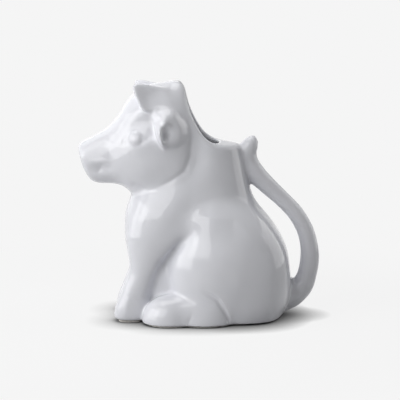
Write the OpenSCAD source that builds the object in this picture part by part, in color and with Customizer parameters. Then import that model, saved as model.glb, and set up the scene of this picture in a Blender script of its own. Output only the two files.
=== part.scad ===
/* [Body] */
// Length of the seated body, chest to rump
body_l = 81.4; // [76:0.2:87]
// Height of the poll, where the fill mouth is highest
body_h = 115; // [110:1:120]
// Width of the barrel without the haunches
body_w = 46; // [43:1:49]
// Height of the fill mouth at the tail
mouth_back_h = 84; // [81:0.5:87]
// Length of the deck behind the fill mouth, which carries the tail
deck_l = 9.5; // [7.5:0.5:11]
// Thickness of the fired wall
wall = 3; // [2.4:0.1:3.6]
// Thickness of the floor
floor_t = 3.6; // [2.6:0.1:5]
// Radius of the glazed edge next to the ground
base_edge_r = 1.8; // [1.4:0.1:2.4]

/* [Haunch] */
// Length of the haunch, front to back
haunch_l = 54; // [51:1:57]
// Height of the haunch from its middle to its top
haunch_h = 28.5; // [26.5:0.5:30.5]
// Thickness of the haunch across the body
haunch_t = 31; // [29:0.5:33]

/* [Head] */
// Length of the head, poll to muzzle
head_l = 49.5; // [46:0.5:53]
// Height of the head, poll to jaw
head_h = 54; // [51:0.5:57]
// Width of the head across the cheeks
head_w = 35; // [33:0.5:37]
// Length of the bulging eye
eye_l = 7.4; // [6.4:0.2:8.4]
// Width of the pouring mouth
spout_w = 8; // [7:0.5:9]

/* [Horns and ears] */
// Length of a horn
horn_l = 17.5; // [16:0.5:19]
// Height of a horn at its free end
horn_h = 13.4; // [12.4:0.2:14.4]
// Thickness of a horn
horn_t = 6.5; // [6:0.5:7.5]
// Height of an ear
ear_h = 20.5; // [19:0.5:22]
// Length of an ear, front to back
ear_l = 15; // [14:0.5:16]
// How far an ear stands out from the head
ear_out = 8.5; // [7.5:0.5:9.5]

/* [Legs] */
// Height of a foreleg to the top of the shoulder
foreleg_h = 62; // [59:1:65]
// Length of a front hoof
hoof_l = 18; // [17:0.5:19]
// Width of a front hoof
hoof_w = 15; // [14:0.5:16]
// Length of a hind foot
hind_foot_l = 45; // [42:0.5:47]
// Height of a hind foot to the ankle
hind_foot_h = 17; // [16:0.5:18.5]
// Width of a hind foot
hind_foot_w = 20; // [19:0.5:21]

/* [Tail handle] */
// Thickness of the tail at the middle of its bow
tail_d = 9.2; // [8.6:0.2:9.8]
// Reach of the tail behind the rump
tail_reach = 15; // [14:0.5:17]

/* [Foot rim] */
// Height of the unglazed rim that the piece stands on
rim_h = 1; // [0.8:0.1:1.4]
// Width of that rim under the body
rim_w = 5; // [4:0.5:6]
// How far that rim stands in from the glaze
rim_inset = 0.6; // [0.4:0.1:1]

/* [Hidden] */

// Points round a section, and sections along each lofted form
body_around = 44;
body_outer_levels = 20;
body_inner_levels = 8;
head_around = 32;
horn_around = 20;
ear_around = 24;
leg_around = 20;
haunch_around = 30;
haunch_levels = 13;
hind_foot_around = 32;
hind_foot_levels = 11;
tail_around = 14;
tail_steps = 2;
eye_around = 16;

// Value at the end of a list, or at place i inside it
function at(list, i) = list[max(0, min(len(list) - 1, i))];
// Smooth curve from b to c, between neighbours a and d
function smooth4(a, b, c, d, t) =
    (2*b + (c - a)*t + (2*a - 5*b + 4*c - d)*t*t + (3*b - a - 3*c + d)*t*t*t)/2;
// Smooth value at place u along a list of rows
function along(list, u) =
    let (i = max(0, min(len(list) - 2, floor(u))))
    smooth4(at(list, i - 1), list[i], list[i + 1], at(list, i + 2), u - i);
function column(rows, k) = [for (row = rows) row[k]];
// The larger of two lengths, with a fillet of reach k where they meet
function blend_max(a, b, k) = max(a, b) + pow(max(0, k - abs(a - b)), 2)/(4*k);
function signed_pow(v, e) = sign(v)*pow(abs(v), e);
function scaled(p, size) = [p.x*size.x, p.y*size.y, p.z*size.z];
// Distance from c along direction d to where it leaves an ellipsoid, or 0
function exit_of(c, d, mid, radii) =
    let (
        o = [(c.x - mid.x)/radii.x, (c.y - mid.y)/radii.y, (c.z - mid.z)/radii.z],
        v = [d.x/radii.x, d.y/radii.y, d.z/radii.z],
        a = v*v,
        b = o*v,
        q = b*b - a*(o*o - 1))
    q > 0 ? max(0, (sqrt(q) - b)/a) : 0;
function angles(n) = [for (i = [0:n - 1]) 360*i/n];
// How far the glazed edge next to the ground is drawn in at height z
function edge_inset(z) =
    let (up = max(0, base_edge_r - (z - rim_h)))
    base_edge_r - sqrt(max(0, pow(base_edge_r, 2) - pow(up, 2)));

function ring_mid(ring) =
    [for (k = [0:2]) [for (p = ring) p[k]]*[for (p = ring) 1]/len(ring)];
// Closed solid through rings of equal length, turning anticlockwise seen from the last; the
// second half of each ring is faced as the mirror image of the first
module skin(rings) {
    n = len(rings[0]);
    m = len(rings);
    polyhedron(
        points = concat([for (r = rings) each r], [ring_mid(rings[0]), ring_mid(rings[m - 1])]),
        faces = concat(
            [for (k = [0:m - 2]) for (i = [0:n - 1])
                let (j = (i + 1) % n, a = k*n + i, b = k*n + j)
                each 2*i < n
                    ? [[a, a + n, b + n], [a, b + n, b]]
                    : [[a, a + n, b], [a + n, b + n, b]]],
            [for (i = [0:n - 1]) [m*n, i, (i + 1) % n]],
            [for (i = [0:n - 1]) [m*n + 1, (m - 1)*n + (i + 1) % n, (m - 1)*n + i]]),
        convexity = 8);
}

// Front, back and half width of the barrel at even steps of its height
barrel_shares = [
    [-0.280, 0.490, 0.530],
    [-0.330, 0.540, 0.530],
    [-0.385, 0.533, 0.500],
    [-0.425, 0.506, 0.475],
    [-0.440, 0.426, 0.445],
    [-0.400, 0.318, 0.405],
    [-0.335, 0.270, 0.355],
    [-0.280, 0.238, 0.310],
    [-0.225, 0.215, 0.275],
    [-0.185, 0.200, 0.235],
    [-0.150, 0.190, 0.185]];
barrel_squareness = 2.2;
// Depth of the hollow flank between foreleg and haunch, and its height and reach up and
// down the body; then its direction at the ground, its reach to each side and its turn
// towards the tail over the body's height
flank_shares = [0.22, 0.18, 0.42];
flank_turns = [160, 34, 140];
function bump(v) = pow(max(0, 1 - v*v), 2);
// Height of the mouth's rim at even angles from the tail round to the poll
rim_shares = [0, 0.005, 0.07, 0.29, 0.56, 0.91, 1];
// Parts of the wall in the outer and inner rounding of the rim, and rise of the deck
lip_shares = [0.7, 0.3, 0.6];
// Height over the rim that stays clear of the head
mouth_clear = wall*4;
function rim_z(t) =
    let (u = (len(rim_shares) - 1)*(t <= 180 ? t : 360 - t)/180)
    mouth_back_h + (body_h - mouth_back_h)*along(rim_shares, u);
function barrel(z) = along(barrel_shares, z/body_h*(len(barrel_shares) - 1));
function barrel_mid(z) = let (s = barrel(z)) body_l*(s[0] + s[1])/2;
function flank(z, t) =
    let (side = t <= 180 ? t : 360 - t, mid = flank_turns[0] - flank_turns[2]*z/body_h)
    flank_shares[0]*bump((z/body_h - flank_shares[1])/flank_shares[2])
    *bump((side - mid)/flank_turns[1]);
function barrel_r(z, t) =
    let (
        s = barrel(z),
        a = body_l*(s[1] - s[0])/2,
        b = body_w*s[2],
        e = barrel_squareness)
    pow(pow(abs(cos(t))/a, e) + pow(abs(sin(t))/b, e), -1/e)*(1 - flank(z, t));
function body_point(z, t, r) = [barrel_mid(z) + r*cos(t), r*sin(t), z];
// Width of the rim: the wall, and the deck towards the tail
function lip_w(t) =
    let (
        edge = barrel_r(mouth_back_h, 0) - deck_l,
        deck = cos(t) > 0 ? barrel_r(mouth_back_h, t) - edge/cos(t) : -deck_l)
    blend_max(wall, deck, deck_l);
function outer_top(t) = rim_z(t) - wall*lip_shares[0];
function inner_top(t) =
    rim_z(t) + wall*(lip_shares[2]*min(1, (lip_w(t) - wall)/deck_l) - lip_shares[1]);
function outer_ring(u) = [
    for (t = angles(body_around))
        let (z = rim_h + u*(outer_top(t) - rim_h))
        body_point(z, t, barrel_r(z, t) - edge_inset(z))];
function outer_lip(q) = [
    for (t = angles(body_around))
        let (z = outer_top(t), k = wall*lip_shares[0])
        body_point(z, t, barrel_r(z, t) - k*(1 - cos(q))) + [0, 0, k*sin(q)]];
function inner_lip(q) = [
    for (t = angles(body_around))
        let (z = inner_top(t), k = wall*lip_shares[1])
        body_point(z, t, barrel_r(z, t) - lip_w(t) + k*(1 - cos(q))) + [0, 0, k*sin(q)]];
function crest() = (outer_lip(90) + inner_lip(90))/2;
function inner_ring(u) = [
    for (t = angles(body_around))
        let (
            low = rim_h + floor_t,
            top = inner_top(t),
            z = low + u*(top - low),
            deep = max(0, 1 - (z - low)/(2*wall)),
            over = max(0, 1 - (top - z)/(3*wall)))
        body_point(z, t, barrel_r(z, t) - wall*(1 + deep*deep) - (lip_w(t) - wall)*over*over)];
function outer_rings() = concat(
    [outer_ring(0), outer_ring(0.2/body_outer_levels), outer_ring(0.5/body_outer_levels)],
    [for (k = [1:body_outer_levels]) outer_ring(k/body_outer_levels)],
    [outer_lip(30), outer_lip(60)]);
// The closed barrel that its neighbours are cut from, carried up over the fill mouth
module body_form() {
    skin(concat(outer_rings(), [crest(), [for (p = crest()) p + [0, 0, mouth_clear]]]));
}
module body() {
    color("white")
    difference() {
        skin(concat(
            outer_rings(),
            [crest(), inner_lip(60)],
            [for (k = [body_inner_levels:-1:0]) inner_ring(k/body_inner_levels)]));
        passage_form();
    }
}

poll_x = -body_l*0.11;
// Top and bottom of the head at each section from the muzzle back, as shares of its
// length forward of the poll and its height below it, then half width and squareness
head_shares = [
    [[1.000, 0.640], [0.965, 0.740], 0.16, 2.2],
    [[0.997, 0.570], [0.930, 0.810], 0.44, 2.6],
    [[0.960, 0.540], [0.870, 0.885], 0.53, 2.8],
    [[0.850, 0.490], [0.790, 0.910], 0.58, 2.8],
    [[0.720, 0.417], [0.670, 0.915], 0.65, 2.6],
    [[0.610, 0.307], [0.575, 0.935], 0.76, 2.4],
    [[0.520, 0.175], [0.465, 1.000], 0.86, 2.3],
    [[0.410, 0.075], [0.325, 1.030], 0.96, 2.3],
    [[0.265, 0.026], [0.160, 1.040], 1.00, 2.3],
    [[0.125, 0.010], [-0.020, 1.040], 0.97, 2.3],
    [[0.030, 0.020], [-0.150, 0.975], 0.84, 2.3],
    [[-0.030, 0.130], [-0.240, 0.820], 0.60, 2.2]];
// How much narrower the forehead is than the cheeks
forehead_share = 0.16;
function head_place(p) = [poll_x - head_l*p.x, 0, body_h - head_h*p.y];
function head_top(u) = head_place(along(column(head_shares, 0), u));
function head_low(u) = head_place(along(column(head_shares, 1), u));
function head_mid(u) = (head_top(u) + head_low(u))/2;
function head_ring(u, inset, share) =
    let (
        up = (head_top(u) - head_low(u))/2,
        half = head_w/2*along(column(head_shares, 2), u),
        e = 2/along(column(head_shares, 3), u))
    [for (t = angles(head_around))
        head_mid(u) + up*(1 - inset/norm(up))*share*signed_pow(cos(t), e)
        - [0, (half - inset)*share*(1 - forehead_share*cos(t))*signed_pow(sin(t), e), 0]];
module head_form() {
    skin([for (u = [0:0.5:len(head_shares) - 1]) head_ring(u, 0, 1)]);
}
// Height of the pouring mouth, as a share of its width
spout_h_share = 0.84;
// Size of the hollow inside the head's wall, from its third section back to the throat
throat_shares = [1, 1, 1, 1, 1, 1, 0.72, 0.58];
function spout_ring(mid) = [
    for (t = angles(head_around)) mid + spout_w/2*[0, -sin(t), spout_h_share*cos(t)]];
module passage_form() {
    skin(concat(
        [spout_ring(head_mid(0) - [wall, 0, 0]), spout_ring(head_mid(1) + [wall/2, 0, 0])],
        [for (k = [0:len(throat_shares) - 1]) head_ring(2 + k, wall, throat_shares[k])]));
}
// Ellipsoid round mid
module egg(mid, radii, around) {
    skin([for (q = [-75:30:75])
        [for (t = angles(around)) mid + scaled([cos(q)*cos(t), cos(q)*sin(t), sin(q)], radii)]]);
}
eye_mid = [poll_x - head_l*0.435, -head_w*0.452, body_h - head_h*0.470];
nostril_mid = [poll_x - head_l*0.78, -head_w*0.290, body_h - head_h*0.735];
mouth_mid = [poll_x - head_l*0.77, -head_w*0.300, body_h - head_h*0.762];
module eye_form() egg(eye_mid, eye_l*[0.50, 0.26, 0.46], eye_around);
module face_cuts() {
    egg(eye_mid - [0, wall*0.2, 0], eye_l*[0.76, 0.22, 0.68], eye_around);
    egg(nostril_mid, eye_l*[0.22, 0.28, 0.19], eye_around);
    egg(mouth_mid, eye_l*[0.66, 0.17, 0.14], eye_around);
}
module head() {
    color("white")
    difference() {
        union() {
            difference() {
                head_form();
                face_cuts();
                mirror([0, 1, 0]) face_cuts();
            }
            eye_form();
            mirror([0, 1, 0]) eye_form();
        }
        body_form();
        passage_form();
    }
}

horn_root = [poll_x - head_l*0.07, -head_w*0.28, body_h - head_h*0.128];
// How far a horn leans forward, and in over the poll, with its height
horn_lean_shares = [0.44, 0.30];
// Reach and flare of a horn's middle, its half height and half thickness, and the depth of
// the dish in its outer face
horn_shares = [
    [-0.10, -0.20, 0.22, 0.30, 0.00],
    [0.15, -0.03, 0.31, 0.46, 0.25],
    [0.40, 0.05, 0.40, 0.50, 0.45],
    [0.70, 0.13, 0.48, 0.48, 0.45],
    [0.92, 0.18, 0.46, 0.40, 0.20],
    [1.00, 0.20, 0.30, 0.18, 0.00]];
module horn_form() {
    skin([for (u = [0:0.5:len(horn_shares) - 1])
        let (s = along(horn_shares, u))
        [for (t = angles(horn_around))
            let (rise = -horn_h*s[2]*sin(t), dish = s[4]*pow(max(0, -cos(t)), 2))
            horn_root + [
                -horn_l*s[0] - horn_lean_shares[0]*rise,
                -horn_l*s[1] + horn_t*(s[3]*cos(t) + dish) + horn_lean_shares[1]*rise,
                rise]]]);
}
module left_horn() {
    color("white")
    difference() {
        horn_form();
        head_form();
        body_form();
    }
}
module right_horn() mirror([0, 1, 0]) left_horn();

ear_top = [poll_x - head_l*0.12, -head_w*0.40, body_h - head_h*0.205];
// Six corners of an ear's section from its top down: back root, both sides of the lobe,
// pocket, ridge and front root, each as shares of its length forward and its reach out
ear_shares = [
    [[-0.18, -0.35], [-0.15, -0.15], [0.05, -0.02], [0.24, 0.02], [0.44, -0.02], [0.58, -0.35]],
    [[-0.25, -0.20], [-0.20, 0.22], [0.03, 0.42], [0.21, 0.56], [0.40, 0.46], [0.54, -0.15]],
    [[-0.45, -0.15], [-0.33, 0.36], [-0.10, 0.56], [0.12, 0.70], [0.30, 0.95], [0.45, 0.00]],
    [[-0.58, -0.15], [-0.43, 0.45], [-0.16, 0.62], [0.09, 0.30], [0.25, 1.16], [0.35, 0.05]],
    [[-0.60, -0.15], [-0.45, 0.48], [-0.17, 0.68], [0.09, 0.26], [0.23, 1.20], [0.31, 0.05]],
    [[-0.52, -0.15], [-0.37, 0.45], [-0.13, 0.66], [0.06, 0.58], [0.19, 1.02], [0.27, 0.05]],
    [[-0.25, 0.00], [-0.18, 0.24], [-0.06, 0.36], [0.04, 0.38], [0.12, 0.42], [0.18, 0.05]]];
// Closed smooth ring through the corners of a section
function corner_ring(corners, n) =
    let (m = len(corners))
    [for (i = [0:n - 1])
        let (u = i*m/n, k = floor(u))
        smooth4(corners[(k + m - 1) % m], corners[k], corners[(k + 1) % m], corners[(k + 2) % m], u - k)];
module ear_form() {
    m = len(ear_shares) - 1;
    skin([for (u = [0:0.5:m])
        let (corners = [for (c = [0:len(ear_shares[0]) - 1]) along(column(ear_shares, c), u)])
        corner_ring([for (p = corners) ear_top - [ear_l*p.x, ear_out*p.y, ear_h*u/m]], ear_around)]);
}
module left_ear() {
    color("white")
    difference() {
        ear_form();
        head_form();
        body_form();
        horn_form();
    }
}
module right_ear() mirror([0, 1, 0]) left_ear();

foreleg_toe = [-body_l*0.51, -body_w*0.255, 0];
// Front and back of a foreleg, its middle outward and half width, at even steps of height
foreleg_shares = [
    [0.00, 0.90, 0.00, 0.47],
    [0.04, 0.97, 0.00, 0.49],
    [0.16, 0.98, 0.01, 0.475],
    [0.28, 1.04, 0.03, 0.45],
    [0.40, 1.13, 0.04, 0.44],
    [0.43, 1.28, 0.06, 0.46],
    [0.405, 1.50, 0.06, 0.52],
    [0.39, 1.72, 0.03, 0.56],
    [0.46, 1.88, -0.04, 0.57],
    [0.56, 1.98, -0.16, 0.58],
    [0.72, 1.98, -0.34, 0.56],
    [0.95, 1.85, -0.56, 0.46]];
leg_roundness = 0.8;
function foreleg_ring(u, inset) =
    let (
        s = along(foreleg_shares, u),
        z = rim_h + (foreleg_h - rim_h)*u/(len(foreleg_shares) - 1),
        a = hoof_l*(s[1] - s[0])/2 - inset,
        b = hoof_w*s[3] - inset)
    [for (t = angles(leg_around))
        foreleg_toe + [
            hoof_l*(s[0] + s[1])/2 + a*signed_pow(cos(t), leg_roundness),
            -hoof_w*s[2] + b*signed_pow(sin(t), leg_roundness),
            z]];
module foreleg_form() {
    skin(concat(
        [foreleg_ring(0, base_edge_r), foreleg_ring(0.1, base_edge_r*0.25), foreleg_ring(0.25, 0)],
        [for (u = [0.5:0.5:len(foreleg_shares) - 1]) foreleg_ring(u, 0)]));
}
module left_foreleg() {
    color("white")
    difference() {
        foreleg_form();
        body_form();
        head_form();
    }
}
module right_foreleg() mirror([0, 1, 0]) left_foreleg();

haunch_mid = [body_l*0.153, -body_w*0.315, haunch_h*0.84];
module haunch_form() {
    low = asin((rim_h + base_edge_r/2 - haunch_mid.z)/haunch_h);
    skin([for (k = [0:haunch_levels])
        let (
            q = low + (90 - low)*k/(haunch_levels + 0.2),
            z = haunch_mid.z + haunch_h*sin(q),
            a = haunch_l/2*cos(q) - edge_inset(z),
            b = haunch_t/2*cos(q) - edge_inset(z))
        [for (t = angles(haunch_around))
            [haunch_mid.x + a*cos(t), haunch_mid.y + b*sin(t), z]]]);
}
module left_haunch() {
    color("white")
    difference() {
        haunch_form();
        body_form();
        hind_foot_form();
        foreleg_form();
    }
}
module right_haunch() mirror([0, 1, 0]) left_haunch();

hind_foot_mid = [-body_l*0.061, -body_w*0.40, 0];
// Middle and radii of the front toe, the back toe and the ankle
toe_shares = [
    [[-0.20, -0.03, 0.12], [0.300, 0.520, 0.72]],
    [[0.17, -0.05, 0.12], [0.328, 0.510, 0.84]],
    [[0.02, 0.12, 0.41], [0.290, 0.55, 0.60]]];
hind_foot_size = [hind_foot_l, hind_foot_w, hind_foot_h];
function hub(z) = let (p = scaled(toe_shares[2][0], hind_foot_size)*z/hind_foot_h) [p.x, p.y, z];
function toe_r(k, z, t) = exit_of(
    hub(z), [cos(t), sin(t), 0],
    scaled(toe_shares[k][0], hind_foot_size), scaled(toe_shares[k][1], hind_foot_size));
function hind_foot_ring(z, inset) = [
    for (t = angles(hind_foot_around))
        let (r = blend_max(blend_max(toe_r(0, z, t), toe_r(1, z, t), wall/2), toe_r(2, z, t), wall))
        hind_foot_mid + hub(z) + max(wall/4, r - inset)*[cos(t), sin(t), 0]];
module hind_foot_form() {
    skin([for (k = [0:hind_foot_levels])
        let (z = rim_h + (hind_foot_h - rim_h)*sin(90*k/hind_foot_levels))
        hind_foot_ring(z, edge_inset(z))]);
}
module left_hind_foot() {
    color("white")
    difference() {
        hind_foot_form();
        body_form();
        foreleg_form();
    }
}
module right_hind_foot() mirror([0, 1, 0]) left_hind_foot();

// Reach of the tail's middle line behind the rump, its height and its thickness, from its
// root at the ground, up the bow and along the neck to the thumb rest at its tip
tail_shares = [
    [-0.264, 0.068, 1.36],
    [0.089, 0.090, 1.38],
    [0.415, 0.126, 1.18],
    [0.576, 0.176, 1.04],
    [0.660, 0.244, 1.01],
    [0.629, 0.304, 0.94],
    [0.489, 0.371, 0.89],
    [0.183, 0.440, 0.86],
    [-0.257, 0.501, 0.86],
    [-0.737, 0.559, 0.95],
    [-1.111, 0.610, 1.02],
    [-1.315, 0.659, 0.93],
    [-1.377, 0.702, 0.93],
    [-1.284, 0.735, 0.76],
    [-1.177, 0.756, 0.54],
    [-1.120, 0.767, 0.25]];
function tail_point(u) =
    let (s = along(tail_shares, u))
    [body_l*0.54 + tail_reach*s[0], 0, body_h*s[1]];
module tail_form() {
    skin([for (k = [0:(len(tail_shares) - 1)*tail_steps])
        let (
            u = k/tail_steps,
            step = tail_point(u + 0.05) - tail_point(u - 0.05),
            side = [step.z, 0, -step.x]/norm(step),
            r = tail_d/2*along(tail_shares, u)[2])
        [for (t = angles(tail_around)) tail_point(u) + r*(cos(t)*side + [0, sin(t), 0])]]);
}
module tail_handle() {
    color("white")
    difference() {
        tail_form();
        body_form();
    }
}

// Unglazed ring under the barrel, with a pad under each foot, all in one plane
module flat_outline(ring) polygon([for (p = ring) [p.x, p.y]]);
function rim_ring(inset) = [
    for (t = angles(body_around)) body_point(rim_h, t, barrel_r(rim_h, t) - base_edge_r - inset)];
module foot_pads() {
    flat_outline(foreleg_ring(0, base_edge_r + rim_inset));
    flat_outline(hind_foot_ring(rim_h, base_edge_r + rim_inset));
}
module foot_rim() {
    color("linen")
    linear_extrude(rim_h)
    union() {
        difference() {
            flat_outline(rim_ring(rim_inset));
            flat_outline(rim_ring(rim_inset + rim_w));
        }
        foot_pads();
        mirror([0, 1, 0]) foot_pads();
    }
}

body();
head();
left_horn();
right_horn();
left_ear();
right_ear();
left_foreleg();
right_foreleg();
left_haunch();
right_haunch();
left_hind_foot();
right_hind_foot();
tail_handle();
foot_rim();
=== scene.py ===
"""A white glazed cow creamer on a pale floor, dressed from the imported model."""

import math

import bpy
import numpy as np
import openvdb as vdb
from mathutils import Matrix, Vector


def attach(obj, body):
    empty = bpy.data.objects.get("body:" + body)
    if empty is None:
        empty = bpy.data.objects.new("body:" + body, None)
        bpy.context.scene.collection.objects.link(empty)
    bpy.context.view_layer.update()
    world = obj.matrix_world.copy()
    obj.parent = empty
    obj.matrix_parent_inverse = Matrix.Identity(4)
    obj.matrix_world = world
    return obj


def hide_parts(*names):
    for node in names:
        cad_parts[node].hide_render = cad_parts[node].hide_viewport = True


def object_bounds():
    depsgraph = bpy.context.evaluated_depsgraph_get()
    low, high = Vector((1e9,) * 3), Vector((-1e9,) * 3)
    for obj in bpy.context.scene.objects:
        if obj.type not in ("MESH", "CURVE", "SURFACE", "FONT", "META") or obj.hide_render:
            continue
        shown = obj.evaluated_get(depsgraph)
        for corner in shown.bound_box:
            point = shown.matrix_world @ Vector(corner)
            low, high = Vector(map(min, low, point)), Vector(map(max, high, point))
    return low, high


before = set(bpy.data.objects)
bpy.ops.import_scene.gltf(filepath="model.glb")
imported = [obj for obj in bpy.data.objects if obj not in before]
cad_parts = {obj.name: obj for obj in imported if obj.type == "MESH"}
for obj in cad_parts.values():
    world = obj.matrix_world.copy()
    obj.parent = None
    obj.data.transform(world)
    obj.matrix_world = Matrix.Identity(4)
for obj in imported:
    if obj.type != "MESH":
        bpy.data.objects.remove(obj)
CAD_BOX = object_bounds()

MM = 0.001
VOXEL = 0.5
BAND = 9.0
LOW = np.array([-62, -33, -4]) / VOXEL
HIGH = np.array([62, 33, 119]) / VOXEL
START = LOW.astype(int)
SHAPE = (HIGH - LOW).astype(int) + 1

# The part's named sizes in millimetres
body_l, body_h, body_w, mouth_back_h, deck_l = 81.4, 115, 46, 84, 9.5
wall, floor_t, base_edge_r = 3, 3.6, 1.8
haunch_l, haunch_h, haunch_t = 54, 28.5, 31
head_l, head_h, head_w, eye_l, spout_w = 49.5, 54, 35, 7.4, 8
horn_l, horn_h, horn_t = 17.5, 13.4, 6.5
ear_h, ear_l, ear_out = 20.5, 15, 8.5
foreleg_h, hoof_l, hoof_w = 62, 18, 15
hind_foot = np.array([45, 20, 17])
tail_d, tail_reach = 9.2, 15
rim_h = 1


# Rows of shares and the curves through them

def along(rows, u):
    rows = np.asarray(rows, float)
    u = np.asarray(u, float)
    i = np.clip(np.floor(u).astype(int), 0, len(rows) - 2)
    t = (u - i).reshape(u.shape + (1,) * (rows.ndim - 1))
    a, b = rows[np.maximum(i - 1, 0)], rows[i]
    c, d = rows[i + 1], rows[np.minimum(i + 2, len(rows) - 1)]
    return (2*b + (c - a)*t + (2*a - 5*b + 4*c - d)*t**2 + (3*b - a - 3*c + d)*t**3) / 2


def signed_pow(v, e):
    return np.sign(v) * np.abs(v)**e


def turn(n):
    return np.arange(n) * 2 * math.pi / n


def skin(rings):
    """Closed mesh through rings of equal length."""
    rings = np.asarray(rings, float)
    m, n = rings.shape[:2]
    points = np.vstack([rings.reshape(-1, 3), rings[0].mean(0), rings[-1].mean(0)])
    i = np.arange(n)
    j = (i + 1) % n
    faces = []
    for k in range(m - 1):
        a, b = k*n, (k + 1)*n
        faces += [np.c_[a + i, b + i, b + j], np.c_[a + i, b + j, a + j]]
    faces += [np.c_[np.full(n, m*n), i, j], np.c_[np.full(n, m*n + 1), (m - 1)*n + j, (m - 1)*n + i]]
    return points, np.vstack(faces)


# Signed distance fields, in millimetres, over one grid that is the same left and right

def field(mesh):
    points, faces = mesh
    grid = vdb.FloatGrid.createLevelSetFromPolygons(
        points.astype(np.float32), triangles=faces.astype(np.uint32),
        transform=vdb.createLinearTransform(voxelSize=VOXEL), halfWidth=BAND / VOXEL)
    values = np.zeros(SHAPE, np.float32)
    grid.copyToArray(values, ijk=tuple(int(v) for v in START))
    return values


def mirrored(values):
    return values[:, ::-1, :]


def join(a, b, k):
    """Union with a fillet of reach k."""
    return np.minimum(a, b) - np.maximum(k - np.abs(a - b), 0)**2 / (4*k)


def cut(a, b, k):
    """a without b, with a rounded edge."""
    return np.maximum(a, -b) + np.maximum(k - np.abs(a + b), 0)**2 / (4*k)


def blurred(values, sigma):
    """Gaussian blur along each axis, which rounds edges and creases."""
    r = int(math.ceil(2.5 * sigma / VOXEL))
    weights = np.exp(-0.5 * (np.arange(-r, r + 1) * VOXEL / sigma)**2)
    weights /= weights.sum()
    for axis in range(3):
        padded = np.pad(values, [(r, r) if a == axis else (0, 0) for a in range(3)], mode="edge")
        values = sum(
            w * np.take(padded, range(s, s + SHAPE[axis]), axis).astype(np.float32)
            for s, w in enumerate(weights.astype(np.float32)))
    return values


def sample(values, points):
    """Value of the field at points in millimetres, between its voxels."""
    p = points / VOXEL - START
    i = np.clip(np.floor(p).astype(int), 0, np.array(SHAPE) - 2)
    f = p - i
    corner = np.zeros((len(p), 2, 2, 2))
    for a in (0, 1):
        for b in (0, 1):
            for c in (0, 1):
                corner[:, a, b, c] = values[i[:, 0] + a, i[:, 1] + b, i[:, 2] + c]
    x, y, z = f.T
    cx = corner[:, 0] * (1 - x)[:, None, None] + corner[:, 1] * x[:, None, None]
    cy = cx[:, 0] * (1 - y)[:, None] + cx[:, 1] * y[:, None]
    return cy[:, 0] * (1 - z) + cy[:, 1] * z


def slope(values, points, h=0.5):
    """Unit vectors out of the surface, from differences over h on either side."""
    g = np.stack([
        sample(values, points + h * e) - sample(values, points - h * e) for e in np.eye(3)], -1)
    return g / np.maximum(np.linalg.norm(g, axis=1), 1e-9)[:, None]


def onto(values, points, times=3):
    """Points moved onto the surface."""
    for _ in range(times):
        points = points - slope(values, points) * sample(values, points)[:, None]
    return points


# The body

barrel_shares = [
    [-0.280, 0.490, 0.530], [-0.330, 0.540, 0.530], [-0.385, 0.533, 0.500],
    [-0.425, 0.506, 0.475], [-0.440, 0.426, 0.445], [-0.400, 0.318, 0.405],
    [-0.335, 0.270, 0.355], [-0.280, 0.238, 0.310], [-0.225, 0.215, 0.275],
    [-0.185, 0.200, 0.235], [-0.150, 0.190, 0.185]]
rim_shares = [0, 0.005, 0.07, 0.29, 0.56, 0.91, 1]
AROUND = turn(240)
OUT, IN, RISE = wall * 0.7, wall * 0.3, 0.6


def rim_z(t):
    u = 6 * (1 - np.abs(1 - t / math.pi))
    return mouth_back_h + (body_h - mouth_back_h) * along(rim_shares, u)


def edge_inset(z):
    up = np.maximum(0, base_edge_r - (z - rim_h))
    return base_edge_r - np.sqrt(np.maximum(0, base_edge_r**2 - up**2))


def bump(v):
    return np.maximum(0, 1 - v * v)**2


def rising(values, low, high):
    return np.clip((values - low) / (high - low), 0, 1)


def barrel_r(z, t):
    s = along(barrel_shares, np.clip(z / body_h, 0, 1) * 10)
    a, b = body_l * (s[..., 1] - s[..., 0]) / 2, body_w * s[..., 2]
    side = np.degrees(math.pi - np.abs(math.pi - t))
    h = z / body_h
    flank = 0.22 * bump((h - 0.18) / 0.42) * bump((side - 160 + 140 * h) / 34)
    return (np.abs(np.cos(t) / a)**2.2 + np.abs(np.sin(t) / b)**2.2)**(-1 / 2.2) * (1 - flank)


def body_ring(z, t, r):
    s = along(barrel_shares, np.clip(z / body_h, 0, 1) * 10)
    mid = body_l * (s[..., 0] + s[..., 1]) / 2
    return np.stack([mid + r * np.cos(t), r * np.sin(t), z], -1)


def lip_w(t):
    r = barrel_r(np.full_like(t, mouth_back_h), t)
    deck = np.where(np.cos(t) > 0.01, r - (r[0] - deck_l) / np.maximum(np.cos(t), 0.01), -deck_l)
    return np.maximum(wall, deck) + np.maximum(0, deck_l - np.abs(wall - deck))**2 / (4 * deck_l)


def lip_ring(z, r, out, q):
    ring = body_ring(z, AROUND, r + out * (1 - math.cos(q)))
    return ring + [0, 0, abs(out) * math.sin(q)]


def inner_top(t):
    return rim_z(t) + wall * RISE * np.minimum(1, (lip_w(t) - wall) / deck_l) - IN


def body_form():
    t = AROUND
    top = rim_z(t) - OUT
    rings = []
    for u in np.r_[0, 0.002, 0.005, 0.01, 0.015, 0.02, np.linspace(0.03, 1, 110)]:
        z = rim_h + u * (top - rim_h)
        rings.append(body_ring(z, t, barrel_r(z, t) - edge_inset(z)))
    for q in np.radians([15, 30, 45, 60, 75, 90]):
        rings.append(lip_ring(top, barrel_r(top, t), -OUT, q))
    z = inner_top(t)
    rings.append(lip_ring(z, barrel_r(z, t) - lip_w(t), IN, math.pi / 2))
    return skin(rings)


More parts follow.
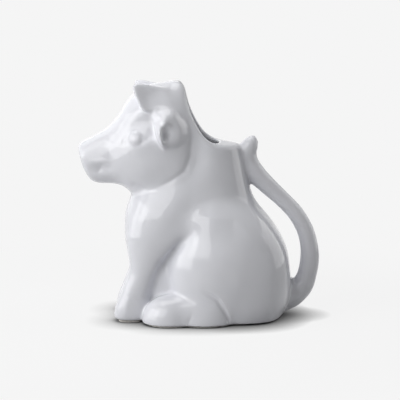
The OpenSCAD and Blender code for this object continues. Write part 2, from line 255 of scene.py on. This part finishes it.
def cavity_form():
    t = AROUND
    low, top = rim_h + floor_t, inner_top(t)
    rings = []
    for u in np.linspace(0, 1, 80):
        z = low + u * (top - low)
        deep = np.maximum(0, 1 - (z - low) / (2 * wall))
        over = np.maximum(0, 1 - (top - z) / (3 * wall))
        inset = wall * (1 + deep**2) + (lip_w(t) - wall) * over**2
        rings.append(body_ring(z, t, barrel_r(z, t) - inset))
    return skin(rings + [rings[-1] + [0, 0, up] for up in (4, 8, 12)])


# The head and the way through it

poll_x = -body_l * 0.11
head_shares = np.array([
    [1.000, 0.640, 0.965, 0.740, 0.16, 2.2], [0.997, 0.570, 0.930, 0.810, 0.44, 2.6],
    [0.960, 0.540, 0.870, 0.885, 0.53, 2.8], [0.850, 0.490, 0.790, 0.910, 0.58, 2.8],
    [0.720, 0.417, 0.670, 0.915, 0.65, 2.6], [0.610, 0.307, 0.575, 0.935, 0.76, 2.4],
    [0.520, 0.175, 0.465, 1.000, 0.86, 2.3], [0.410, 0.075, 0.325, 1.030, 0.96, 2.3],
    [0.265, 0.026, 0.160, 1.040, 1.00, 2.3], [0.125, 0.010, -0.020, 1.040, 0.97, 2.3],
    [0.030, 0.020, -0.150, 0.975, 0.84, 2.3], [-0.030, 0.130, -0.240, 0.820, 0.60, 2.2]])


def head_ring(u, n=160, inset=0, share=1):
    s = along(head_shares, np.array(u))
    top = np.array([poll_x - head_l * s[0], 0, body_h - head_h * s[1]])
    low = np.array([poll_x - head_l * s[2], 0, body_h - head_h * s[3]])
    up, half, e, t = (top - low) / 2, head_w / 2 * s[4], 2 / s[5], turn(n)
    rise = signed_pow(np.sin(t), e)[:, None] * up * (1 - inset / np.linalg.norm(up)) * share
    side = (half - inset) * share * (1 - 0.16 * np.sin(t)) * signed_pow(np.cos(t), e)
    ring = (top + low) / 2 + rise
    ring[:, 1] += side
    return ring


def head_form():
    return skin([head_ring(u) for u in np.linspace(0, 11, 111)])


def passage_form():
    t = turn(160)
    rings = []
    for u, out in ((0, -wall), (1, wall / 2)):
        s = along(head_shares, np.array(u))
        mid = np.array([
            poll_x - head_l * (s[0] + s[2]) / 2 + out, 0, body_h - head_h * (s[1] + s[3]) / 2])
        rings.append(mid + spout_w / 2 * np.c_[np.zeros(160), np.cos(t), 0.84 * np.sin(t)])
    throat = [1, 1, 1, 1, 1, 1, 0.72, 0.58]
    rings += [head_ring(2 + k, 160, wall, along(throat, np.array(k))) for k in np.linspace(0, 7, 60)]
    return skin(rings)


# Horns, ears, legs and tail, on the left side at -Y

def horn_form():
    root = np.array([poll_x - head_l * 0.07, -head_w * 0.28, body_h - head_h * 0.128])
    shares = [
        [-0.10, -0.20, 0.22, 0.30, 0.00], [0.15, -0.03, 0.31, 0.46, 0.25],
        [0.40, 0.05, 0.40, 0.50, 0.45], [0.70, 0.13, 0.48, 0.48, 0.45],
        [0.92, 0.18, 0.46, 0.40, 0.20], [1.00, 0.20, 0.30, 0.18, 0.00]]
    rings = []
    t = turn(80)
    for u in np.linspace(0, 5, 51):
        s = along(shares, np.array(u))
        rise = -horn_h * s[2] * np.sin(t)
        dish = s[4] * np.maximum(0, -np.cos(t))**2
        rings.append(root + np.c_[
            -horn_l * s[0] - 0.44 * rise,
            -horn_l * s[1] + horn_t * (s[3] * np.cos(t) + dish) + 0.30 * rise, rise])
    return skin(rings)


def ear_form():
    top = np.array([poll_x - head_l * 0.12, -head_w * 0.40, body_h - head_h * 0.205])
    shares = np.array([
        [[-0.18, -0.35], [-0.15, -0.15], [0.05, -0.02], [0.24, 0.02], [0.44, -0.02], [0.58, -0.35]],
        [[-0.25, -0.20], [-0.22, 0.34], [0.02, 0.50], [0.22, 0.40], [0.42, 0.20], [0.58, -0.20]],
        [[-0.45, -0.15], [-0.33, 0.40], [-0.08, 0.62], [0.09, 0.86], [0.28, 0.52], [0.46, 0.00]],
        [[-0.58, -0.15], [-0.43, 0.42], [-0.14, 0.58], [0.11, 0.60], [0.26, 0.98], [0.39, 0.05]],
        [[-0.60, -0.15], [-0.45, 0.44], [-0.17, 0.60], [0.08, 0.52], [0.23, 1.08], [0.34, 0.05]],
        [[-0.52, -0.15], [-0.37, 0.42], [-0.13, 0.60], [0.06, 0.72], [0.18, 0.94], [0.28, 0.05]],
        [[-0.25, 0.00], [-0.18, 0.24], [-0.06, 0.36], [0.04, 0.38], [0.12, 0.42], [0.18, 0.05]]])
    rings = []
    for u in np.linspace(0, 6, 61):
        corners = along(shares, np.array(u))
        v = np.arange(120) / 20
        i = np.floor(v).astype(int)
        f = (v - i)[:, None]
        a, b, c, d = (corners[(i + k) % 6] for k in (-1, 0, 1, 2))
        p = (2*b + (c - a)*f + (2*a - 5*b + 4*c - d)*f**2 + (3*b - a - 3*c + d)*f**3) / 2
        rings.append(top - np.c_[ear_l * p[:, 0], ear_out * p[:, 1], np.full(120, ear_h * u / 6)])
    return skin(rings)


def foreleg_form():
    toe = np.array([-body_l * 0.51, -body_w * 0.255, 0])
    shares = [
        [0.00, 0.90, 0.00, 0.47], [0.04, 0.97, 0.00, 0.49], [0.16, 0.98, 0.01, 0.475],
        [0.28, 1.04, 0.03, 0.45], [0.40, 1.13, 0.04, 0.44], [0.43, 1.28, 0.06, 0.46],
        [0.405, 1.50, 0.06, 0.52], [0.39, 1.72, 0.03, 0.56], [0.46, 1.88, -0.04, 0.57],
        [0.56, 1.98, -0.16, 0.58], [0.72, 1.98, -0.34, 0.56], [0.95, 1.85, -0.56, 0.46]]
    rings = []
    t = turn(120)
    for u in np.r_[0, 0.03, 0.08, 0.15, 0.25, 0.35, np.linspace(0.5, 11, 70)]:
        s = along(shares, np.array(u))
        z = rim_h + (foreleg_h - rim_h) * u / 11
        inset = edge_inset(z)
        a, b = hoof_l * (s[1] - s[0]) / 2 - inset, hoof_w * s[3] - inset
        turned = 0.28 * a * np.maximum(0, -np.sin(t))**2 * bump((u - 5.5) / 4.5)
        rings.append(toe + np.c_[
            hoof_l * (s[0] + s[1]) / 2 + a * signed_pow(np.cos(t), 0.8) + turned,
            -hoof_w * s[2] + b * signed_pow(np.sin(t), 0.8), np.full(120, z)])
    return skin(rings)


def haunch_form():
    mid = np.array([body_l * 0.153, -body_w * 0.315, haunch_h * 0.84])
    t = turn(160)
    rings = []
    for q in np.linspace(math.asin((rim_h - mid[2]) / haunch_h), math.radians(89), 90):
        z = mid[2] + haunch_h * math.sin(q)
        a = haunch_l / 2 * math.cos(q) - edge_inset(z)
        b = haunch_t / 2 * math.cos(q) - edge_inset(z)
        rings.append(np.c_[mid[0] + a * np.cos(t), mid[1] + b * np.sin(t), np.full(160, z)])
    return skin(rings)


def ellipsoid(mid, radii, around=96, levels=60):
    t = turn(around)
    return skin([
        mid + radii * np.c_[
            math.cos(q) * np.cos(t), math.cos(q) * np.sin(t), np.full(around, math.sin(q))]
        for q in np.linspace(-1.55, 1.55, levels)])


def tail_form():
    shares = [
        [-0.264, 0.068, 1.36], [0.089, 0.090, 1.38], [0.415, 0.126, 1.18], [0.576, 0.176, 1.04],
        [0.660, 0.244, 1.01], [0.629, 0.304, 0.94], [0.489, 0.371, 0.89], [0.183, 0.440, 0.86],
        [-0.257, 0.501, 0.86], [-0.737, 0.559, 0.95], [-1.111, 0.610, 1.02], [-1.315, 0.659, 0.93],
        [-1.377, 0.702, 0.95], [-1.284, 0.732, 0.86], [-1.177, 0.748, 0.66], [-1.080, 0.755, 0.36]]
    u = np.linspace(0, 15, 181)
    s = along(shares, u)
    points = np.c_[body_l * 0.54 + tail_reach * s[:, 0], np.zeros(len(u)), body_h * s[:, 1]]
    steps = np.gradient(points, axis=0)
    t = turn(64)
    rings = []
    for p, d, r in zip(points, steps, tail_d / 2 * s[:, 2]):
        side = np.array([d[2], 0, -d[0]]) / np.linalg.norm(d)
        rings.append(p + r * (np.cos(t)[:, None] * side + np.sin(t)[:, None] * np.array([0, 1, 0])))
    return skin(rings)


# Fine modelling: grooves and ridges along lines on the left side, and the same on the right

X, Y, Z = ((START[a] + np.arange(SHAPE[a])) * VOXEL for a in range(3))
form_relief, last_relief = np.zeros(SHAPE, np.float32), np.zeros(SHAPE, np.float32)


def stroke(relief, width, points):
    """Groove, or ridge where the depth is below zero, along rows of x, y, z and depth."""
    rows = np.array(points, float)
    lo = np.maximum(((rows[:, :3].min(0) - 3 * width) / VOXEL - START).astype(int), 0)
    hi = ((rows[:, :3].max(0) + 3 * width) / VOXEL - START).astype(int) + 1
    box = tuple(slice(a, b) for a, b in zip(lo, hi))
    p = np.stack(np.meshgrid(X[box[0]], Y[box[1]], Z[box[2]], indexing="ij"), -1)
    best, depth = np.full(p.shape[:3], 1e9), np.zeros(p.shape[:3])
    for a, b in zip(rows[:-1], rows[1:]):
        d = b[:3] - a[:3]
        f = np.clip((p - a[:3]) @ d / max(d @ d, 1e-9), 0, 1)
        gap = np.linalg.norm(p - a[:3] - f[..., None] * d, axis=-1)
        near = gap < best
        best = np.where(near, gap, best)
        depth = np.where(near, a[3] + f * (b[3] - a[3]), depth)
    relief[box] += (depth * np.exp(-(best / width)**2)).astype(np.float32)


body = field(body_form())
haunch = field(haunch_form())
foreleg = field(foreleg_form())
head = field(head_form())

# Brow and temple, crease over the eye and its outer corner, cheekbone under it
stroke(form_relief, 4.0, [
    [-34.0, -13.0, 93.5, 0.6], [-29.0, -15.2, 95.5, 1.5], [-24.5, -16.4, 96.5, 1.7],
    [-22.0, -17.0, 93.0, 1.2]])
stroke(form_relief, 0.9, [
    [-36.2, -13.6, 86.5, 0.3], [-35.2, -14.2, 89.6, 0.3], [-32.2, -15.3, 92.8, 0.3],
    [-29.2, -16.0, 93.8, 0.3], [-26.1, -16.4, 92.3, 0.3], [-24.7, -16.4, 89.8, 0.3],
    [-25.6, -16.2, 87.4, 0.2]])
stroke(form_relief, 3.2, [
    [-33.5, -15.5, 82.0, -0.3], [-26.0, -17.2, 85.5, -0.5], [-20.5, -17.6, 87.5, -0.3]])
# Edge of the muzzle, overhang of the lip, nostril and the line of the mouth
stroke(form_relief, 1.2, [
    [-52.4, -6.6, 85.5, -0.3], [-48.1, -6.6, 87.9, -0.4], [-43.7, -7.2, 90.4, -0.2]])
stroke(form_relief, 1.3, [
    [-52.0, -9.8, 76.8, -0.3], [-47.0, -10.6, 77.2, -0.5], [-43.0, -11.4, 77.0, -0.2]])
stroke(form_relief, 0.9, [
    [-46.4, -10.8, 75.8, 0.4], [-47.2, -10.5, 74.4, 0.7], [-48.2, -10.2, 73.4, 0.3]])
stroke(form_relief, 2.0, [
    [-51.0, -9.6, 73.6, 0.3], [-48.0, -10.2, 73.8, 0.9], [-45.0, -10.9, 74.0, 0.9],
    [-41.5, -11.6, 74.6, 0.2]])
# Valley between shoulder and haunch, with the flank above it filled out
stroke(form_relief, 3.0, [
    [-1.0, -20.5, 45.5, 0.2], [-7.0, -19.5, 41.0, 0.9], [-12.0, -18.0, 36.0, 1.4],
    [-17.0, -16.8, 31.0, 1.3], [-20.5, -14.0, 22.0, 0.3]])
stroke(form_relief, 7.0, [
    [-8.0, -18.0, 57.0, -0.3], [-1.0, -19.0, 50.0, -0.8], [4.0, -20.0, 50.0, -0.4]])
# Fold along the jaw and the back of the head, and the hollow of the neck behind it
stroke(form_relief, 1.3, [
    [-33.0, -8.0, 67.0, 0.2], [-30.8, -12.6, 66.4, 0.5], [-23.6, -12.2, 63.9, 0.5],
    [-14.0, -16.0, 68.8, 0.5], [-7.0, -16.3, 73.5, 0.5], [-4.5, -14.8, 80.5, 0.5],
    [-4.3, -13.6, 89.0, 0.4], [-5.5, -12.5, 97.0, 0.2]])
stroke(form_relief, 5.0, [
    [-1.5, -12.0, 98.0, 0.3], [-1.0, -13.5, 89.0, 0.7], [-1.0, -14.5, 79.0, 0.8],
    [-4.0, -16.0, 71.0, 0.2]])
# Coronet and edge of the front hoof
stroke(form_relief, 0.9, [
    [-34.6, -18.2, 13.4, 0.2], [-29.5, -18.8, 12.3, 0.5], [-26.6, -17.9, 11.1, 0.2]])
stroke(form_relief, 0.9, [[-34.1, -18.7, 12.2, -0.2], [-35.5, -18.7, 4.5, -0.3]])
# Cleft of the hind foot and the fold behind its back toe
stroke(last_relief, 0.9, [[-3.5, -28.2, 7.0, 0.1], [-4.5, -28.3, 4.1, 0.4], [-5.5, -26.9, 1.8, 0.6]])
stroke(last_relief, 0.9, [
    [1.5, -28.4, 17.6, 0.2], [4.2, -28.6, 16.3, 0.9], [8.3, -28.7, 13.9, 1.2],
    [11.6, -27.5, 8.7, 1.2], [13.8, -25.6, 2.7, 1.0]])

# All forms in one field. The haunch and the shoulder run out into the body at their tops
# and backs, where the fillets grow wider
SEAM, HAUNCH_RUN_OUT, SHOULDER_RUN_OUT = 3, 12, 6
BELLY_SEAM, JAW_SEAM, TOE_SEAM, TAIL_SEAM = 4, 2.5, 3.5, 2
FOOT_SEAM, HORN_SEAM, EAR_SEAM, EYE_SEAM = 1.8, 2.5, 1, 0.6
LIP_ROUND, SPOUT_ROUND = 2.4, 1.2
MELT, GLAZE_MELT = 0.6, 0.4
belly_mid, belly_r = np.array([-17.0, -6.5, 15.0]), np.array([8.5, 9.5, 20.0])

run_out = np.minimum(1, rising(Z[None, :], 36, 52) + rising(X[:, None], 16, 34))[:, None, :]
haunches = join(haunch, mirrored(haunch), SEAM)
mass = join(body, haunches, (SEAM + HAUNCH_RUN_OUT * run_out).astype(np.float32))
shoulder = (SEAM + SHOULDER_RUN_OUT * rising(Z, 22, 42)).astype(np.float32)
mass = join(mass, foreleg, shoulder)
mass = join(mass, mirrored(foreleg), shoulder)
belly = field(ellipsoid(belly_mid, belly_r))
mass = join(mass, join(belly, mirrored(belly), SEAM), BELLY_SEAM)
mass = blurred(join(mass, head, JAW_SEAM), MELT) + form_relief + mirrored(form_relief)

# Hind foot of two toes and an ankle
mid = np.array([-body_l * 0.061, -body_w * 0.40, 0])
toes = [([-0.20, -0.03, 0.12], [0.300, 0.520, 0.72]), ([0.17, -0.05, 0.12], [0.328, 0.510, 0.84]),
        ([0.02, 0.12, 0.41], [0.290, 0.55, 0.60])]
front_toe, back_toe, ankle = (
    field(ellipsoid(mid + hind_foot * np.array(p), hind_foot * np.array(r))) for p, r in toes)
foot = join(join(front_toe, back_toe, TOE_SEAM), ankle, SEAM)
tail = field(tail_form())
horn = field(horn_form())
ear = blurred(field(ear_form()), MELT)

# Eyeball sunk into the cheek, with a groove round it that is deepest at the outer corner
EYE_SINK, EYE_RING, EYE_SHIFT = 0.86, 0.54, 0.3
RING_DEPTH, CORNER_DEPTH, CORNER_TURN = 0.45, 0.3, 0.8
eye_at = onto(mass, np.array([[poll_x - head_l * 0.435, -head_w * 0.48, body_h - head_h * 0.470]]))
out = slope(mass, eye_at, 2.0)[0]
side = np.array([-out[1], out[0], 0])
eye_at = eye_at[0] - [EYE_SHIFT, 0, 0]
eye = field(ellipsoid(eye_at - eye_l * EYE_SINK * out, np.full(3, eye_l)))
stroke(last_relief, 0.8, [
    [*(eye_at + eye_l * EYE_RING * (math.cos(a) * side + math.sin(a) * np.cross(out, side))),
     RING_DEPTH + CORNER_DEPTH * max(0, math.cos(a - CORNER_TURN))]
    for a in np.linspace(0, 2 * math.pi, 25)])

skin_field = mass
for piece, k in ((foot, FOOT_SEAM), (horn, HORN_SEAM), (ear, EAR_SEAM), (eye, EYE_SEAM)):
    skin_field = join(skin_field, piece, k)
    skin_field = join(skin_field, mirrored(piece), k)
skin_field = join(skin_field, tail, TAIL_SEAM)
skin_field = skin_field + last_relief + mirrored(last_relief)
skin_field = cut(skin_field, field(cavity_form()), LIP_ROUND)
skin_field = cut(skin_field, field(passage_form()), SPOUT_ROUND)
skin_field = blurred(skin_field, GLAZE_MELT)

# Flat under the feet and over the horns, and eased in at the widest place to stay in the CAD box
SIDE_ROOM, SIDE_ROUND = 0.16, 0.6
skin_field = np.maximum(skin_field, (rim_h - Z).astype(np.float32))
skin_field = np.maximum(skin_field, (Z - body_h).astype(np.float32))
beyond = (CAD_BOX[1][1] / MM + SIDE_ROOM - np.abs(Y)).astype(np.float32)[:, None]
skin_field = cut(skin_field, beyond, SIDE_ROUND)


# From the field to a mesh

MOST_FACES = 190_000


def surface(name, values, most):
    """Mesh of the field, thinned, drawn onto the field again and shaded by its slope."""
    grid = vdb.FloatGrid(BAND)
    grid.copyFromArray(values, ijk=tuple(int(v) for v in START))
    grid.transform = vdb.createLinearTransform(voxelSize=VOXEL)
    grid.gridClass = vdb.GridClass.LEVEL_SET
    points, quads = grid.convertToQuads(0)
    mesh = bpy.data.meshes.new(name)
    mesh.from_pydata(onto(values, points.astype(float)).tolist(), [], quads[:, ::-1].tolist())
    ob = bpy.data.objects.new(name, mesh)
    bpy.context.scene.collection.objects.link(ob)
    thin = ob.modifiers.new("thin", "DECIMATE")
    thin.ratio = min(1, most / (2 * len(quads)))
    done = bpy.data.meshes.new_from_object(ob.evaluated_get(bpy.context.evaluated_depsgraph_get()))
    ob.modifiers.clear()
    ob.data = done
    done.name = name
    co = np.zeros(len(done.vertices) * 3)
    done.vertices.foreach_get("co", co)
    co = onto(values, co.reshape(-1, 3))
    done.vertices.foreach_set("co", (co * MM).ravel())
    done.shade_smooth()
    done.normals_split_custom_set_from_vertices(slope(values, co).tolist())
    done.update()
    return ob


glaze_skin = surface("glaze_skin", skin_field, MOST_FACES)


# Materials

def material(name, base, roughness):
    m = bpy.data.materials.new(name)
    m.use_nodes = True
    tree = m.node_tree
    shader = tree.nodes["Principled BSDF"]
    shader.inputs["Base Color"].default_value = (*base, 1)
    shader.inputs["Roughness"].default_value = roughness
    return m, tree, shader


def noise(tree, size, detail=2.0):
    """Noise over the object's own coordinates, with features of a size in millimetres."""
    place = tree.nodes.new("ShaderNodeTexCoord")
    node = tree.nodes.new("ShaderNodeTexNoise")
    node.inputs["Scale"].default_value = 1 / (size * MM)
    node.inputs["Detail"].default_value = detail
    tree.links.new(place.outputs["Object"], node.inputs["Vector"])
    return node.outputs["Fac"]


def tones(tree, fac, stops, socket):
    """Colours along a value."""
    node = tree.nodes.new("ShaderNodeValToRGB")
    ends = node.color_ramp.elements
    for (at, colour), end in zip(stops, ends):
        end.position, end.color = at, (*colour, 1)
    tree.links.new(fac, node.inputs["Fac"])
    tree.links.new(node.outputs["Color"], socket)


def spread(tree, fac, low, high, socket):
    """A value taken from the middle of the noise to low ... high."""
    node = tree.nodes.new("ShaderNodeMapRange")
    for name, v in (("From Min", 0.3), ("From Max", 0.7), ("To Min", low), ("To Max", high)):
        node.inputs[name].default_value = v
    tree.links.new(fac, node.inputs["Value"])
    tree.links.new(node.outputs["Result"], socket)


def dents(tree, shader, fac, depth, before=None):
    """Bump of a depth in millimetres."""
    node = tree.nodes.new("ShaderNodeBump")
    node.inputs["Distance"].default_value = depth * MM
    tree.links.new(fac, node.inputs["Height"])
    if before:
        tree.links.new(before, node.inputs["Normal"])
    tree.links.new(node.outputs["Normal"], shader.inputs["Normal"])
    return node.outputs["Normal"]


# Clear glaze over white porcelain: slow waves and a fine orange peel, a hint of tone
glaze, tree, shader = material("glaze", (0.79, 0.80, 0.84), 0.06)
shader.inputs["IOR"].default_value = 1.5
tones(tree, noise(tree, 14), ((0.35, (0.782, 0.789, 0.832)), (0.65, (0.802, 0.808, 0.850))),
      shader.inputs["Base Color"])
spread(tree, noise(tree, 9), 0.03, 0.05, shader.inputs["Roughness"])
waves = dents(tree, shader, noise(tree, 7), 0.03)
dents(tree, shader, noise(tree, 0.9, 3), 0.004, waves)
glaze_skin.data.materials.append(glaze)
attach(glaze_skin, "root")
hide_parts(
    "body", "head", "left_horn", "right_horn", "left_ear", "right_ear", "left_foreleg",
    "right_foreleg", "left_haunch", "right_haunch", "left_hind_foot", "right_hind_foot", "tail_handle")

# Unglazed porcelain of the foot rim: dry, grainy and a little warm
biscuit, tree, shader = material("biscuit", (0.66, 0.64, 0.60), 0.9)
tones(tree, noise(tree, 3, 4), ((0.3, (0.60, 0.58, 0.54)), (0.7, (0.70, 0.68, 0.64))),
      shader.inputs["Base Color"])
spread(tree, noise(tree, 1), 0.82, 0.95, shader.inputs["Roughness"])
dents(tree, shader, noise(tree, 0.4, 3), 0.02)
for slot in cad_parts["foot_rim"].material_slots:
    slot.material = biscuit


# Floor, world, lamps and camera

PALE = 0.913
FLOOR_R = 7
# Floor albedos and the strength of the near floor's glow, which carries a painted contact shadow
FLOOR_ALBEDO, NEAR_ALBEDO, PAINTED_SHADE_GLOW = 0.5, 0.10, 0.835
# Reach and darkening of the ambient occlusion that paints the contact shadow into that glow
PAINTED_SHADOW_REACH, PAINTED_SHADOW_DEPTH = 0.015, 1.9
FADE_FROM, FADE_TO = 0.09, 0.20
DOME = 0.02
# Name, turn, rise, distance, width, height and watts
LAMPS = (
    ("key", -41, 27, 0.8, 0.60, 0.50, 2.1),
    ("left", -70, 8, 0.8, 0.7, 0.7, 4.2),
    ("top", -90, 80, 0.8, 0.6, 0.6, 2.8),
    ("right", 105, 12, 0.8, 0.75, 0.7, 2.3),
    ("back", -150, 30, 0.8, 0.9, 0.9, 1.2),
)


def seen(tree):
    """One for the rays that show a surface to the camera, straight or in a reflection."""
    path = tree.nodes.new("ShaderNodeLightPath")
    total = path.outputs["Is Camera Ray"]
    for name in ("Is Glossy Ray", "Is Transmission Ray"):
        both = tree.nodes.new("ShaderNodeMath")
        both.operation = "MAXIMUM"
        tree.links.new(total, both.inputs[0])
        tree.links.new(path.outputs[name], both.inputs[1])
        total = both.outputs[0]
    return total


def mixed(tree, fac, first, second):
    node = tree.nodes.new("ShaderNodeMixShader")
    tree.links.new(fac, node.inputs[0])
    tree.links.new(first, node.inputs[1])
    tree.links.new(second, node.inputs[2])
    return node.outputs[0]


# Near the piece the floor takes lamp light with its cast shadows, plus a glow that ambient occlusion
# darkens into a painted contact shadow, and further out it is even
bpy.ops.mesh.primitive_circle_add(vertices=128, radius=FLOOR_R, fill_type="NGON")
floor = bpy.context.object
floor.name = "floor"
floor_material = bpy.data.materials.new("floor")
floor_material.use_nodes = True
tree = floor_material.node_tree
tree.nodes.remove(tree.nodes["Principled BSDF"])
paper = tree.nodes.new("ShaderNodeBsdfDiffuse")
paper.inputs["Color"].default_value = (FLOOR_ALBEDO, FLOOR_ALBEDO, FLOOR_ALBEDO, 1)
near = tree.nodes.new("ShaderNodeBsdfDiffuse")
near.inputs["Color"].default_value = (NEAR_ALBEDO, NEAR_ALBEDO, NEAR_ALBEDO, 1)
# Ambient occlusion darkens the near floor's glow: a painted contact shadow, not one cast by the lamps
painted_shadow_occlusion = tree.nodes.new("ShaderNodeAmbientOcclusion")
painted_shadow_occlusion.samples = 16
painted_shadow_occlusion.inputs["Distance"].default_value = PAINTED_SHADOW_REACH
painted_shadow_occlusion.inputs["Color"].default_value = (1, 1, 1, 1)
painted_shadow_glow = tree.nodes.new("ShaderNodeEmission")
painted_shadow_gamma = tree.nodes.new("ShaderNodeGamma")
painted_shadow_gamma.inputs["Gamma"].default_value = PAINTED_SHADOW_DEPTH
tree.links.new(painted_shadow_occlusion.outputs["Color"], painted_shadow_gamma.inputs["Color"])
tree.links.new(painted_shadow_gamma.outputs["Color"], painted_shadow_glow.inputs["Color"])
painted_shadow_glow.inputs["Strength"].default_value = PAINTED_SHADE_GLOW
# Lamp light on the near floor plus the glow with its painted contact shadow
lamp_light_and_painted_shadow = tree.nodes.new("ShaderNodeAddShader")
tree.links.new(near.outputs[0], lamp_light_and_painted_shadow.inputs[0])
tree.links.new(painted_shadow_glow.outputs[0], lamp_light_and_painted_shadow.inputs[1])
far = tree.nodes.new("ShaderNodeEmission")
far.inputs["Color"].default_value = (PALE, PALE, PALE, 1)
place = tree.nodes.new("ShaderNodeTexCoord")
length = tree.nodes.new("ShaderNodeVectorMath")
length.operation = "LENGTH"
tree.links.new(place.outputs["Object"], length.inputs[0])
away = tree.nodes.new("ShaderNodeMapRange")
away.interpolation_type = "SMOOTHSTEP"
away.inputs["From Min"].default_value = FADE_FROM
away.inputs["From Max"].default_value = FADE_TO
tree.links.new(length.outputs["Value"], away.inputs["Value"])
shown = mixed(tree, away.outputs["Result"], lamp_light_and_painted_shadow.outputs[0], far.outputs[0])
tree.links.new(
    mixed(tree, seen(tree), paper.outputs[0], shown), tree.nodes["Material Output"].inputs["Surface"])
floor.data.materials.append(floor_material)

world = bpy.data.worlds.new("world")
bpy.context.scene.world = world
world.use_nodes = True
tree = world.node_tree
dome = tree.nodes["Background"]
dome.inputs["Color"].default_value = (1, 1, 1, 1)
dome.inputs["Strength"].default_value = DOME
backdrop = tree.nodes.new("ShaderNodeBackground")
backdrop.inputs["Color"].default_value = (PALE, PALE, PALE, 1)
tree.links.new(
    mixed(tree, seen(tree), dome.outputs[0], backdrop.outputs[0]),
    tree.nodes["World Output"].inputs["Surface"])


def lamp(name, turn_deg, rise_deg, distance, width, height, power):
    """Soft box aimed at the piece, turned from the camera's side to the right."""
    data = bpy.data.lights.new(name, "AREA")
    data.shape = "RECTANGLE"
    data.size, data.size_y = width, height
    data.energy = power
    ob = bpy.data.objects.new(name, data)
    bpy.context.scene.collection.objects.link(ob)
    a, e = math.radians(turn_deg), math.radians(rise_deg)
    aim = Vector((0, 0, 0.06))
    ob.location = aim + distance * Vector(
        (math.sin(a) * math.cos(e), -math.cos(a) * math.cos(e), math.sin(e)))
    ob.rotation_euler = (aim - ob.location).to_track_quat("-Z", "Y").to_euler()


for row in LAMPS:
    lamp(*row)

# The camera matches the photograph's view
SENSOR, LENS = 36, 142.6
camera = bpy.data.objects.new("camera", bpy.data.cameras.new("camera"))
bpy.context.scene.collection.objects.link(camera)
aim, distance, rise = Vector((0.00024, 0, 0.057)), 0.770, math.radians(9.5)
camera.location = aim + distance * Vector((0, -math.cos(rise), math.sin(rise)))
camera.rotation_euler = (aim - camera.location).to_track_quat("-Z", "Y").to_euler()
camera.data.sensor_width, camera.data.lens = SENSOR, LENS
bpy.context.scene.camera = camera
bpy.context.scene.view_settings.view_transform = "Standard"
